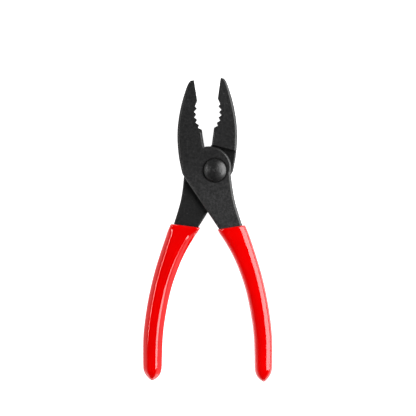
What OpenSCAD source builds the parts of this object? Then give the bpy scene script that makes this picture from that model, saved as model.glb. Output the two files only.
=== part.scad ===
// Slip joint pliers: two forged halves that cross at a domed bolt, its nut and washer,
// and a dipped grip on each handle. The bolt's axis is the Z axis, the jaws point along +Y,
// and the underside of the nut is at z = 0.

/* [Pose] */
// Angle between the jaw faces as drawn
open_angle = 16.4; // [10:0.2:20]
// Share of that angle by which the front half is turned, the back half takes the rest
front_turn_share = 0.55; // [0.45:0.01:0.6]

/* [Jaws] */
// Length from the bolt's axis to the jaw tips
jaw_length = 61; // [56:0.5:68]
// Widest part of the front jaw, from its gripping face to its back
front_jaw_w = 17.9; // [17:0.1:20]
// Widest part of the back jaw, from its gripping face to its back
back_jaw_w = 16.8; // [16:0.1:20]
// Height above the bolt's axis at which the jaws begin
shoulder_rise = 16.6; // [16.6:0.1:18]
// Gap that stays between the gripping faces when the jaws are shut
face_gap = 0.1; // [0.05:0.01:0.3]
// Length of the finely grooved nose, from the tip
nose_length = 13.7; // [10:0.1:15]
// Distance between the fine grooves of the nose
groove_pitch = 1.5; // [1.2:0.1:2.5]
// Depth of the fine grooves
groove_depth = 0.2; // [0.15:0.05:0.4]
// Length of the toothed hollow that holds pipes and nuts
hollow_length = 22; // [20:0.1:23]
// Depth of the hollow to the roots of its teeth
hollow_depth = 3.9; // [3:0.1:4.5]
// Distance between the teeth of the hollow
tooth_pitch = 3.63; // [3.5:0.01:4.2]
// Height of the teeth
tooth_h = 1.7; // [0.8:0.1:1.8]
// Distance of the middle tooth gap from the hollow's middle, towards the nose
tooth_shift = 0.35; // [0:0.05:0.5]
// Width of the wire cutter's sloping edge behind the hollow
cutter_w = 1.3; // [0.6:0.1:1.6]

/* [Joint] */
// Distance of the bolt's axis from the line on which the jaws meet
pivot_offset = 4.3; // [3.8:0.1:4.6]
// Thickness of each half where they cross
plate_t = 5.2; // [4:0.1:6.5]
// Running gap between the two plates
plate_gap = 0.05; // [0.02:0.01:0.1]
// Radius of the front half's round plate
front_boss_r = 14.45; // [13.5:0.05:14.6]
// Height of that plate's centre above the bolt's axis
front_boss_rise = 1.93; // [0.5:0.01:2]
// Distance of that plate's centre from the line on which the jaws meet, away from its own jaw
front_boss_shift = 0.76; // [0:0.02:1]
// Radius of the back half's round plate
back_boss_r = 13.3; // [12.5:0.1:13.4]
// Height of that plate's centre above the bolt's axis
back_boss_rise = 0.5; // [0:0.1:0.6]
// Distance of that plate's centre from the line on which the jaws meet, away from its own jaw
back_boss_shift = -0.4; // [-0.8:0.1:0]
// Width of the bevel along the edges of both halves
bevel = 1.3; // [0.6:0.1:1.6]
// Width of the bevel around the round plates
boss_bevel = 0.8; // [0.4:0.1:1.3]
// Angle by which the jaws' shoulders and the slot are off square to the jaw faces
shoulder_tilt = 7.3; // [5:0.1:9]
// Distance between the two positions of the bolt in the back half's slot
slip_step = 7.6; // [7.2:0.1:8.2]
// Radius of the arc that the slot follows, about a point beside the grips' rims
slip_radius = 42; // [38:0.5:44]

/* [Bolt] */
// Radius of the bolt's shank
shank_r = 4.2; // [4.1:0.05:4.4]
// Distance across the two flats of the shank
shank_flats = 6.2; // [6:0.1:6.6]
// Running clearance around the shank in the slot's holes
slot_clear = 0.06; // [0.03:0.01:0.1]
// Running clearance at each flat in the slot's neck
neck_clear = 0.14; // [0.12:0.01:0.3]
// Clearance around the shank in the front half, in the washer and in the nut
fit_clear = 0.03; // [0.01:0.01:0.06]
// Radius of the domed head
head_r = 7.5; // [6.5:0.1:8.5]
// Height of the domed head
head_h = 3.2; // [2:0.1:4]
// Height of the head's rim under the dome
head_rim_h = 0.9; // [0.5:0.1:1.4]
// Radius of the small dimple in the middle of the head
dimple_r = 0.9; // [0.5:0.1:1.4]
// Radius of the thread
thread_r = 3; // [2.6:0.1:3]
// Distance across the flats of the nut
nut_flats = 11; // [10:0.1:13]
// Height of the nut
nut_h = 3.2; // [2.5:0.1:4]
// Radius of the washer
washer_r = 7.6; // [6.6:0.1:8.4]
// Thickness of the washer
washer_t = 0.8; // [0.5:0.1:1.4]

/* [Handles] */
// Length from the bolt's axis to the ends of the grips, along the jaw faces
handle_length = 143.4; // [135:0.2:155]
// Distance from the bolt's axis to the rims of the grips
rim_drop = 38.75; // [38:0.05:41]
// Distance of the handles' middle line from the jaw-face line at the widest bow
handle_bow = 18.95; // [17:0.05:22]
// Outward lean of the back handle for each millimetre along it
back_lean = 0.0335; // [0.03:0.0005:0.04]
// Height above the bolt's axis of the corner where a jaw's back turns into the handle
corner_rise = 1; // [0:0.1:1.5]
// Distance below the bolt's axis at which the front handle leaves the round plate
front_neck_drop = 1.5; // [1:0.1:3]
// Distance below the bolt's axis at which the back handle leaves the round plate
back_neck_drop = 6; // [5:0.1:8]
// Length by which the tangs stop short of the grips' ends
tang_short = 9; // [8:0.1:12]

/* [Grips] */
// Width of the front grip at its rim
front_rim_w = 18.75; // [18:0.05:19]
// Width of the back grip at its rim
back_rim_w = 19.65; // [19:0.05:20]
// Thickness of the grips at their rims
grip_t = 11; // [10.6:0.1:13]
// Wall of the grips at the outer sides of the tangs
outer_wall = 1.9; // [1.4:0.1:2.2]
// Wall of the grips at the inner sides of the tangs, which face the other handle
inner_wall = 1.2; // [1:0.1:2]
// Length over which the ends of the grips narrow to a blunt point
end_length = 11.5; // [9:0.1:13]
// Clearance of the tangs in the grips
tang_clear = 0.03; // [0.01:0.01:0.06]

/* [Hidden] */
$fn = 96;

// Each table pairs a share of a length with a share of a width or of a thickness
jaw_back_shares = [
    [0, 0.965], [0.1, 0.99], [0.2, 1], [0.3, 0.985], [0.4, 0.95], [0.5, 0.89],
    [0.6, 0.8], [0.7, 0.685], [0.8, 0.545], [0.9, 0.38], [0.96, 0.267], [0.985, 0.2], [1, 0.13]
];
jaw_thickness_shares = [[0, 1], [0.5, 1], [0.8, 0.88], [1, 0.66]];
handle_thickness_shares = [
    [0, 1], [0.08, 1], [0.18, 0.92], [0.272, 0.74], [0.37, 0.65], [0.6, 0.61], [1, 0.55]
];
neck_shares = [[0, 0.876], [0.18, 0.856], [0.39, 0.844], [0.6, 0.863], [0.8, 0.924], [1, 1]];
grip_middle_shares = [
    [0.27, 0.474], [0.294, 0.528], [0.316, 0.589], [0.37, 0.706], [0.43, 0.815], [0.5, 0.908],
    [0.57, 0.97], [0.65, 1], [0.73, 0.998], [0.8, 0.966], [0.87, 0.896], [0.93, 0.826],
    [0.965, 0.795], [1, 0.761]
];
grip_width_shares = [
    [0.27, 1], [0.294, 0.995], [0.316, 0.948], [0.37, 0.853], [0.43, 0.778], [0.5, 0.733],
    [0.57, 0.697], [0.65, 0.686], [0.73, 0.672], [0.8, 0.67], [0.87, 0.659], [0.93, 0.646], [1, 0.627]
];
grip_thickness_shares = [[0.27, 1], [0.5, 0.95], [0.8, 0.92], [1, 0.9]];
joint_station_shares = [0.08, 0.16, 0.26, 0.36, 0.46, 0.56, 0.66, 0.76, 0.86, 0.94];
tang_station_shares = [
    0.282, 0.294, 0.305, 0.316, 0.343, 0.37, 0.4, 0.43, 0.465, 0.5, 0.535, 0.57, 0.61, 0.65,
    0.69, 0.73, 0.765, 0.8, 0.835, 0.87, 0.9, 0.925
];
end_station_shares = [0.2, 0.35, 0.48, 0.6, 0.7, 0.79, 0.87, 0.94, 1];
// Power of the grips' pointed ends, and their width at the very end as a share of the grips' width
end_power = 3.15;
end_tip_share = 0.06;
// Power of the grips' rounded section along them: 1 is an ellipse, and less is squarer
grip_round_powers = [[0.27, 0.72], [0.5, 0.82], [0.8, 0.92], [1, 0.95]];
// Bevel of the tangs as a share of half their thickness
tang_bevel_share = 0.35;
// Steps around the grips' section
grip_steps = 24;

front_turn = open_angle * front_turn_share;
back_turn = open_angle - front_turn;
washer_z = nut_h;
back_plate_z = nut_h + washer_t;
mid_z = back_plate_z + plate_t + plate_gap / 2;
front_plate_z = mid_z + plate_gap / 2;
top_z = front_plate_z + plate_t;
half_h = plate_t + plate_gap / 2;
// A reach past every edge of the joint, for cuts
overrun = jaw_length / 2;

// The slot's arc, as drawn: its angle, its heading at the bolt and its centre
slip_angle = 2 * asin(slip_step / 2 / slip_radius);
slot_heading = 180 - shoulder_tilt - slip_angle / 2 - back_turn;
function slip_centre(heading) = slip_radius * [cos(heading + 90), sin(heading + 90)];

// Smooth curve through a table of points
function span_of(table, x, i = 0) =
    i >= len(table) - 2 || x < table[i + 1][0] ? i : span_of(table, x, i + 1);
function slope_at(table, i) =
    let (a = max(i - 1, 0), b = min(i + 1, len(table) - 1))
    (table[b][1] - table[a][1]) / (table[b][0] - table[a][0]);
function curve(table, x) =
    let (
        i = span_of(table, x),
        d = table[i + 1][0] - table[i][0],
        s = (x - table[i][0]) / d
    )
    table[i][1] * (1 + 2 * s) * pow(1 - s, 2)
    + table[i + 1][1] * (3 - 2 * s) * pow(s, 2)
    + slope_at(table, i) * d * s * pow(1 - s, 2)
    - slope_at(table, i + 1) * d * pow(s, 2) * (1 - s);

// Each half is drawn flat with its gripping face on x = 0, its jaw at negative x along +y and
// its plate at positive z. The grips' and tangs' middle lines and widths at a height y:
function grip_middle(y, lean) = handle_bow * curve(grip_middle_shares, -y / handle_length) - lean * y;
function grip_width(y, rim_w) = rim_w * curve(grip_width_shares, -y / handle_length);
function end_share(y) =
    let (s = (-y - (handle_length - end_length)) / end_length)
    s <= 0 ? 1 : 1 - (1 - end_tip_share) * pow(s, end_power);
function tang_side(y, lean, rim_w, side) =
    grip_middle(y, lean)
    + side * (grip_width(y, rim_w) / 2 - (side > 0 ? outer_wall : inner_wall));

// Left and right edges of a half at a height y
function jaw_back(y, jaw_w) = -jaw_w * curve(jaw_back_shares, y / jaw_length);
function left_edge(y, jaw_w, lean, rim_w) =
    y >= corner_rise ? jaw_back(y, jaw_w)
    : y <= -rim_drop ? tang_side(y, lean, rim_w, -1)
    : let (s = (corner_rise - y) / (corner_rise + rim_drop))
        (1 - s) * jaw_back(corner_rise, jaw_w) + s * tang_side(-rim_drop, lean, rim_w, -1);
function neck_edge(y, lean, rim_w) =
    tang_side(-rim_drop, lean, rim_w, 1) * curve(neck_shares, -y / rim_drop);
function right_edge(y, lean, rim_w, neck_drop) =
    y >= shoulder_rise ? -face_gap / 2
    : y <= -rim_drop ? tang_side(y, lean, rim_w, 1)
    : y <= -neck_drop ? neck_edge(y, lean, rim_w)
    : let (s = (shoulder_rise - y) / (shoulder_rise + neck_drop))
        s * neck_edge(-neck_drop, lean, rim_w) - (1 - s) * face_gap / 2;
function steel_half_h(y) =
    half_h * min(1, y >= 0 ? curve(jaw_thickness_shares, y / jaw_length)
        : curve(handle_thickness_shares, -y / handle_length));

// Section of the steel: a rectangle with bevelled corners, in the plane of height y
function steel_ring(y, jaw_w, lean, rim_w, neck_drop, grow) =
    let (
        l = left_edge(y, jaw_w, lean, rim_w) - grow,
        r = right_edge(y, lean, rim_w, neck_drop) + grow,
        t = steel_half_h(y) + grow,
        c = min(bevel, (r - l) / 3, t * (y < -rim_drop ? tang_bevel_share : 1)),
        f = y > 0 ? groove_depth : c
    )
    [
        [l + c, y, t], [r - f, y, t], [r, y, t - f], [r, y, f - t],
        [r - f, y, -t], [l + c, y, -t], [l, y, c - t], [l, y, t - c]
    ];

// Section of a grip: a squared ellipse, in the plane of height y
function rounded(v, power) = sign(v) * pow(abs(v), power);
function grip_ring(y, lean, rim_w) =
    let (
        a = grip_width(y, rim_w) / 2 * end_share(y),
        b = grip_t / 2 * curve(grip_thickness_shares, -y / handle_length) * end_share(y),
        power = curve(grip_round_powers, -y / handle_length)
    )
    [
        for (i = [0 : grip_steps - 1])
        let (turn = -360 * i / grip_steps)
        [grip_middle(y, lean) + a * rounded(cos(turn), power), y, b * rounded(sin(turn), power)]
    ];

jaw_heights = [for (i = [len(jaw_back_shares) - 1 : -1 : 1]) jaw_length * jaw_back_shares[i][0]];
joint_heights = [
    for (s = joint_station_shares) corner_rise - s * (corner_rise + rim_drop)
];
tang_heights = [
    for (s = tang_station_shares) if (s * handle_length > rim_drop + tang_clear) -s * handle_length
];
end_heights = [for (s = end_station_shares) -handle_length + end_length * (1 - s)];

// Closed skin over rings with equally many points
module loft(rings) {
    n = len(rings[0]);
    last = (len(rings) - 1) * n;
    sides = [
        for (i = [0 : len(rings) - 2], j = [0 : n - 1])
        let (a = i * n + j, b = i * n + (j + 1) % n)
        each [[a, b, b + n], [a, b + n, a + n]]
    ];
    top = [for (j = [n - 1 : -1 : 0]) j];
    bottom = [for (j = [0 : n - 1]) last + j];
    polyhedron([for (ring = rings) each ring], concat([top], sides, [bottom]), convexity = 4);
}

module steel_body(jaw_w, lean, rim_w, neck_drop, grow = 0) {
    heights = concat(
        [for (y = jaw_heights) if (y > shoulder_rise) y],
        [shoulder_rise],
        [for (y = jaw_heights) if (y < shoulder_rise && y > corner_rise) y],
        [corner_rise],
        [for (y = joint_heights) if (y > -neck_drop) y],
        [-neck_drop],
        [for (y = joint_heights) if (y < -neck_drop) y],
        [-rim_drop],
        [for (y = tang_heights) if (y > tang_short - handle_length) y],
        [tang_short - handle_length]
    );
    loft([for (y = heights) steel_ring(y, jaw_w, lean, rim_w, neck_drop, grow)]);
}

// Round plate around the bolt, bevelled at its outer face
module boss(r, rise, shift) {
    translate([shift, rise, 0])
    rotate_extrude()
    polygon([
        [0, plate_gap / 2], [r, plate_gap / 2],
        [r, half_h - boss_bevel], [r - boss_bevel, half_h], [0, half_h]
    ]);
}

// Toothed hollow: its roots lie on an arc, and the teeth stand between them
hollow_top = jaw_length - nose_length;
hollow_mid = hollow_top - hollow_length / 2;
hollow_r = (pow(hollow_length / 2, 2) + pow(hollow_depth, 2)) / (2 * hollow_depth);
tooth_count = floor(hollow_length / tooth_pitch - 1);
function hollow_at(y) = hollow_depth - hollow_r + sqrt(pow(hollow_r, 2) - pow(y - hollow_mid, 2));
function root_y(i) = hollow_mid + tooth_shift + ((tooth_count - 1) / 2 - i) * tooth_pitch;

module hollow_cut() {
    teeth = [
        for (i = [0 : tooth_count - 1])
        let (y = root_y(i), crest = y - tooth_pitch / 2)
        each [[-hollow_at(y), y], [tooth_h - hollow_at(crest), crest]]
    ];
    outline = concat(
        [[overrun, hollow_top], [0, hollow_top]],
        teeth,
        [[0, hollow_top - hollow_length], [overrun, hollow_top - hollow_length]]
    );
    translate([0, 0, -overrun])
    linear_extrude(2 * overrun)
    polygon(outline);
}

// Fine grooves across the nose
module groove_cuts() {
    for (y = [hollow_top + groove_pitch : groove_pitch : jaw_length - groove_pitch / 2])
        translate([-face_gap / 2, y, -overrun])
        linear_extrude(2 * overrun)
        polygon([[groove_depth, groove_depth], [-groove_depth, 0], [groove_depth, -groove_depth]]);
}

// Sloping edge of the wire cutter, on the plate's side of a jaw
module cutter_cut() {
    translate([-face_gap / 2, shoulder_rise, half_h])
    rotate([-90, 0, 0])
    linear_extrude(hollow_top - hollow_length - shoulder_rise)
    polygon([[-cutter_w, -overrun], [-cutter_w, 0], [0, half_h], [overrun, half_h], [overrun, -overrun]]);
}

// Room for the other half's plate: all below the middle, from the jaw's shoulder to the grip's rim
module plate_room() {
    translate([0, 0, -overrun])
    linear_extrude(overrun + plate_gap / 2)
    polygon([
        [-overrun, shoulder_rise - overrun * tan(shoulder_tilt)],
        [-face_gap / 2, shoulder_rise],
        [overrun, shoulder_rise],
        [overrun, -rim_drop],
        [-overrun, -rim_drop]
    ]);
}

module half(jaw_w, lean, rim_w, neck_drop, boss_r, boss_rise, boss_shift) {
    difference() {
        union() {
            steel_body(jaw_w, lean, rim_w, neck_drop);
            boss(boss_r, boss_rise, boss_shift);
        }
        plate_room();
        hollow_cut();
        groove_cuts();
        cutter_cut();
    }
}

module grip(lean, rim_w) {
    heights = concat(
        [-rim_drop],
        [for (y = tang_heights) if (y > end_length - handle_length) y],
        [end_length - handle_length],
        end_heights
    );
    loft([for (y = heights) grip_ring(y, lean, rim_w)]);
}

module tang_room(jaw_w, lean, rim_w, neck_drop) {
    steel_body(jaw_w, lean, rim_w, neck_drop, tang_clear);
}

module place_front() {
    rotate([0, 0, front_turn])
    translate([-pivot_offset, 0, mid_z])
    children();
}

module place_back() {
    rotate([0, 0, -back_turn])
    translate([-pivot_offset, 0, mid_z])
    mirror([1, 0, 0])
    mirror([0, 0, 1])
    children();
}

// Shank with two flats, which lie along the slot
module keyed_shank(r, flats, z, h) {
    intersection() {
        translate([0, 0, z])
        cylinder(r = r, h = h);
        rotate([0, 0, slot_heading])
        translate([-2 * r, -flats / 2, z])
        cube([2 * 2 * r, flats, h]);
    }
}

// Slot in the back half: two round holes joined by a neck that only lets the flats pass
module slot() {
    centre = slip_centre(slot_heading);
    h = half_h + 2 * bevel;
    z = back_plate_z - bevel;
    translate([0, 0, z])
    cylinder(r = shank_r + slot_clear, h = h);
    translate([centre[0], centre[1], z])
    rotate([0, 0, slip_angle])
    translate([-centre[0], -centre[1], 0])
    cylinder(r = shank_r + slot_clear, h = h);
    translate([centre[0], centre[1], z])
    rotate([0, 0, slot_heading - 90])
    rotate_extrude(angle = slip_angle)
    translate([slip_radius - shank_flats / 2 - neck_clear, 0])
    square([shank_flats + 2 * neck_clear, h]);
}

module front_half() {
    color([0.2, 0.2, 0.21])
    difference() {
        place_front()
        half(front_jaw_w, 0, front_rim_w, front_neck_drop, front_boss_r, front_boss_rise, front_boss_shift);
        keyed_shank(shank_r + fit_clear, shank_flats + 2 * fit_clear, mid_z, half_h + bevel);
    }
}

module back_half() {
    color([0.16, 0.16, 0.17])
    difference() {
        place_back()
        half(back_jaw_w, back_lean, back_rim_w, back_neck_drop, back_boss_r, back_boss_rise, back_boss_shift);
        slot();
    }
}

module pivot_bolt() {
    dome_h = head_h - head_rim_h;
    dome_r = (pow(head_r, 2) + pow(dome_h, 2)) / (2 * dome_h);
    color([0.24, 0.24, 0.25])
    difference() {
        union() {
            translate([0, 0, top_z])
            cylinder(r = head_r, h = head_rim_h);
            intersection() {
                translate([0, 0, top_z + head_h - dome_r])
                sphere(r = dome_r);
                translate([0, 0, top_z + head_rim_h])
                cylinder(r = head_r, h = head_h);
            }
            keyed_shank(shank_r, shank_flats, back_plate_z, top_z + head_rim_h - back_plate_z);
            cylinder(r = thread_r, h = mid_z);
        }
        translate([0, 0, top_z + head_h])
        sphere(r = dimple_r);
    }
}

module pivot_washer() {
    color([0.3, 0.3, 0.31])
    difference() {
        translate([0, 0, washer_z])
        cylinder(r = washer_r, h = washer_t);
        translate([0, 0, washer_z - washer_t])
        cylinder(r = thread_r + slot_clear, h = 3 * washer_t);
    }
}

module pivot_nut() {
    corner_r = nut_flats / 2 / cos(30);
    color([0.24, 0.24, 0.25])
    difference() {
        intersection() {
            cylinder(r = corner_r, h = nut_h, $fn = 6);
            rotate_extrude()
            polygon([
                [0, 0], [nut_flats / 2, 0], [corner_r, corner_r - nut_flats / 2],
                [corner_r, nut_h], [0, nut_h]
            ]);
        }
        translate([0, 0, -nut_h])
        cylinder(r = thread_r + fit_clear, h = 3 * nut_h);
    }
}

module front_grip() {
    color([0.85, 0.03, 0.03])
    place_front()
    difference() {
        grip(0, front_rim_w);
        tang_room(front_jaw_w, 0, front_rim_w, front_neck_drop);
    }
}

module back_grip() {
    color([0.85, 0.03, 0.03])
    place_back()
    difference() {
        grip(back_lean, back_rim_w);
        tang_room(back_jaw_w, back_lean, back_rim_w, back_neck_drop);
    }
}

front_half();
back_half();
pivot_bolt();
pivot_washer();
pivot_nut();
front_grip();
back_grip();
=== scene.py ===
import math

import bpy
import numpy as np
from mathutils import Matrix, Vector, noise
from mathutils.geometry import delaunay_2d_cdt


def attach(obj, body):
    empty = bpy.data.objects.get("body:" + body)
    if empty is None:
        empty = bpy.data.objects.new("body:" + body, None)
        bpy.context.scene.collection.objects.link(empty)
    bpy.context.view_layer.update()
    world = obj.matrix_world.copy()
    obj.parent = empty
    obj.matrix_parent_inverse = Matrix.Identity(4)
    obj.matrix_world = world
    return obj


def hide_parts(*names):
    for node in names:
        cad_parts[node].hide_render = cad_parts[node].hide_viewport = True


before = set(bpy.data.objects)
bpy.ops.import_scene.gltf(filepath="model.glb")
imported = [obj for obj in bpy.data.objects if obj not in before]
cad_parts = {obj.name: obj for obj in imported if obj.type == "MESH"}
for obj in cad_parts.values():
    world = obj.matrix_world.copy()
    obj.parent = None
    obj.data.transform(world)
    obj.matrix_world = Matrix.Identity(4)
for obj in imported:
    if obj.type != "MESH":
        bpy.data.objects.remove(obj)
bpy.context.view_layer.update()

MM = 0.001

# Sizes of the tool in millimetres and degrees, as in the part's source or made from it.
# The turn of each half about the bolt, and the bolt's distance from the line where the jaws meet
FRONT_TURN, BACK_TURN, PIVOT_OFFSET = 9.02, 7.38, 4.3
# The height of the plane between the halves, half the steel's thickness, the gap between the plates
MID_Z, HALF_H, PLATE_GAP = 9.225, 5.225, 0.05
# The jaws' length, their shoulder's height above the bolt and its tilt, the gap between shut jaws
JAW_LENGTH, SHOULDER, SHOULDER_TILT, FACE_GAP = 61.0, 16.6, 7.3, 0.1
# The nose and its grooves, the toothed hollow, and the width of the wire cutter's bevel
NOSE, GROOVE_PITCH, GROOVE_DEPTH = 13.7, 1.5, 0.2
HOLLOW, HOLLOW_DEPTH, TOOTH_PITCH, TOOTH_H, TOOTH_SHIFT = 22.0, 3.9, 3.63, 1.7, 0.35
CUTTER = 1.3
# The bevels of the outlines and of the round bosses, the second 0.05 wider than in the source
BEVEL, BOSS_BEVEL = 1.3, 0.85
# The grips' rims and ends below the bolt, the corner above it, the handles' bow, and the length by
# which the tangs stop short
RIM_DROP, HANDLE_LENGTH, CORNER_RISE, HANDLE_BOW, TANG_SHORT = 38.75, 143.4, 1.0, 18.95, 9.0
# The grips' thickness and walls, and the length, power and blunt tip of their pointed ends
GRIP_T, OUTER_WALL, INNER_WALL = 11.0, 1.9, 1.2
END_LENGTH, END_POWER, END_TIP = 11.5, 3.15, 0.06
# The bolt's head and the plate's top under it; its shank, half across the flats, and their heading
HEAD_R, HEAD_H, TOP_Z = 7.5, 3.2, 14.45
SHANK_R, SHANK_FLAT, KEY_HEADING = 4.2, 3.1, math.radians(160.129)
# The slot's round holes, half of its neck, the far hole's centre; the keyed hole and half across it
SLOT_R, SLOT_NECK, SLOT_FAR = 4.26, 3.24, Vector((-7.3519, 1.926))
KEY_R, KEY_FLAT = 4.23, 3.13

# Edges, in millimetres: how softly the bevels begin and end, their slope, and the rounded corners
BEVEL_SOFT, BEVEL_SLOPE, BEVEL_CORNER, CRISP_CORNER, PLATE_CORNER = 0.28, 0.7, 0.3, 0.2, 0.15
# The bevel narrows from this height to this width at the tip
BEVEL_NARROWS, BEVEL_AT_TIP = 50, 0.75
TANG_BEVEL = 1.2
# How far the edge wear reaches from a bevel's inner border, its outer edge and a crisp edge
WEAR_CREASE, WEAR_EDGE, WEAR_CRISP = 0.22, 0.2, 0.15
# The wire cutter's bevel, then its steep edge: how wide that is and how far it falls
CUTTER_SOFT, CUTTER_SLOPE, CUTTER_STEEP, CUTTER_FALL = 0.18, 1.05, 0.38, 3.4
# The cutter's small bevel on the jaw's other face
CUTTER_BACK, CUTTER_BACK_SLOPE = 0.9, 0.7
# The back half's plate lies this much deeper past a line through two points of the shared frame
RELIEF_LINE, RELIEF_DEPTH = ((-16.5, -13.0), (-20.0, -11.7)), 0.2

# Longest steps between points on the straight edges, and on the boss and the holes in radians
FACE_STEP, TOOTH_STEP, JAW_STEP, NECK_STEP, TANG_STEP = 0.5, 0.45, 0.7, 0.8, 2.5
BOSS_ANGLE, HOLE_ANGLE = 0.045, 0.13

# Each table pairs a share of a length with a share of a width or of a thickness
JAW_BACK = [
    (0, 0.965), (0.1, 0.99), (0.2, 1), (0.3, 0.985), (0.4, 0.95), (0.5, 0.89), (0.6, 0.8),
    (0.7, 0.685), (0.8, 0.545), (0.9, 0.38), (0.96, 0.267), (0.985, 0.2), (1, 0.13),
]
JAW_THICK = [(0, 1), (0.5, 1), (0.8, 0.88), (1, 0.66)]
HANDLE_THICK = [
    (0, 1), (0.08, 1), (0.18, 0.92), (0.272, 0.74), (0.37, 0.65), (0.6, 0.61), (1, 0.55),
]
NECK = [(0, 0.876), (0.18, 0.856), (0.39, 0.844), (0.6, 0.863), (0.8, 0.924), (1, 1)]
GRIP_MIDDLE = [
    (0.27, 0.474), (0.294, 0.528), (0.316, 0.589), (0.37, 0.706), (0.43, 0.815), (0.5, 0.908),
    (0.57, 0.97), (0.65, 1), (0.73, 0.998), (0.8, 0.966), (0.87, 0.896), (0.93, 0.826),
    (0.965, 0.795), (1, 0.761),
]
GRIP_WIDTH = [
    (0.27, 1), (0.294, 0.995), (0.316, 0.948), (0.37, 0.853), (0.43, 0.778), (0.5, 0.733),
    (0.57, 0.697), (0.65, 0.686), (0.73, 0.672), (0.8, 0.67), (0.87, 0.659), (0.93, 0.646),
    (1, 0.627),
]
GRIP_THICK = [(0.27, 1), (0.5, 0.95), (0.8, 0.92), (1, 0.9)]
# Power of the grips' section along them: 1 is an ellipse, and less is squarer
GRIP_POWER = [(0.27, 0.72), (0.5, 0.82), (0.8, 0.92), (1, 0.95)]


def curve(table, x):
    """Smooth curve through a table of points."""
    i = 0
    while i < len(table) - 2 and x >= table[i + 1][0]:
        i += 1

    def slope(k):
        a, b = max(k - 1, 0), min(k + 1, len(table) - 1)
        return (table[b][1] - table[a][1]) / (table[b][0] - table[a][0])

    (x0, y0), (x1, y1) = table[i], table[i + 1]
    d = x1 - x0
    s = (x - x0) / d
    return (
        y0 * (1 + 2 * s) * (1 - s) ** 2 + y1 * (3 - 2 * s) * s * s
        + slope(i) * d * s * (1 - s) ** 2 - slope(i + 1) * d * s * s * (1 - s)
    )


def steps(a, b, most):
    """Evenly spaced values from a to b, both included, at most that far apart."""
    n = max(1, math.ceil(abs(b - a) / most - 1e-9))
    return [a + (b - a) * i / n for i in range(n + 1)]


def arc(centre, r, start, stop, most):
    """Points of an arc, at most that angle apart."""
    x, y = centre
    return [(x + r * math.cos(a), y + r * math.sin(a)) for a in steps(start, stop, most)]


def section(c, power):
    """A cosine or sine, for a section of that power: 1 is an ellipse, and less is squarer."""
    return math.copysign(abs(c) ** power, c)


class Half:
    """Outlines of one half, drawn flat: gripping face on x = 0, jaw at negative x."""

    def __init__(self, jaw_w, lean, rim_w, neck_drop, boss_r, boss_centre):
        self.jaw_w, self.lean, self.rim_w, self.neck_drop = jaw_w, lean, rim_w, neck_drop
        self.boss_r, self.boss_centre = boss_r, boss_centre

    def middle(self, y):
        return HANDLE_BOW * curve(GRIP_MIDDLE, -y / HANDLE_LENGTH) - self.lean * y

    def width(self, y):
        return self.rim_w * curve(GRIP_WIDTH, -y / HANDLE_LENGTH)

    def tang(self, y, side):
        """The tang's edge, on its outer side at 1 and on its inner side at -1."""
        wall = OUTER_WALL if side > 0 else INNER_WALL
        return self.middle(y) + side * (self.width(y) / 2 - wall)

    def back(self, y):
        return -self.jaw_w * curve(JAW_BACK, y / JAW_LENGTH)

    def neck(self, y):
        return self.tang(-RIM_DROP, 1) * curve(NECK, -y / RIM_DROP)

    def left(self, y):
        if y >= CORNER_RISE:
            return self.back(y)
        if y <= -RIM_DROP:
            return self.tang(y, -1)
        s = (CORNER_RISE - y) / (CORNER_RISE + RIM_DROP)
        return (1 - s) * self.back(CORNER_RISE) + s * self.tang(-RIM_DROP, -1)

    def right(self, y):
        if y >= SHOULDER:
            return -FACE_GAP / 2
        if y <= -RIM_DROP:
            return self.tang(y, 1)
        if y <= -self.neck_drop:
            return self.neck(y)
        s = (SHOULDER - y) / (SHOULDER + self.neck_drop)
        return s * self.neck(-self.neck_drop) - (1 - s) * FACE_GAP / 2


FRONT = Half(
    jaw_w=17.9, lean=0.0, rim_w=18.75, neck_drop=1.5, boss_r=14.45, boss_centre=(0.76, 1.93)
)
BACK = Half(
    jaw_w=16.8, lean=0.0335, rim_w=19.65, neck_drop=6.0, boss_r=13.3, boss_centre=(-0.4, 0.5)
)


def half_h(y):
    """Half of the steel's thickness at a height y."""
    t = curve(JAW_THICK, y / JAW_LENGTH) if y >= 0 else curve(HANDLE_THICK, -y / HANDLE_LENGTH)
    return HALF_H * min(1, t)


TAPER_Y = np.linspace(-HANDLE_LENGTH, JAW_LENGTH, 800)
TAPER_T = np.array([half_h(y) for y in TAPER_Y])


def taper(y):
    """The same for an array of heights, read from a table."""
    return np.interp(y, TAPER_Y, TAPER_T)


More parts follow.
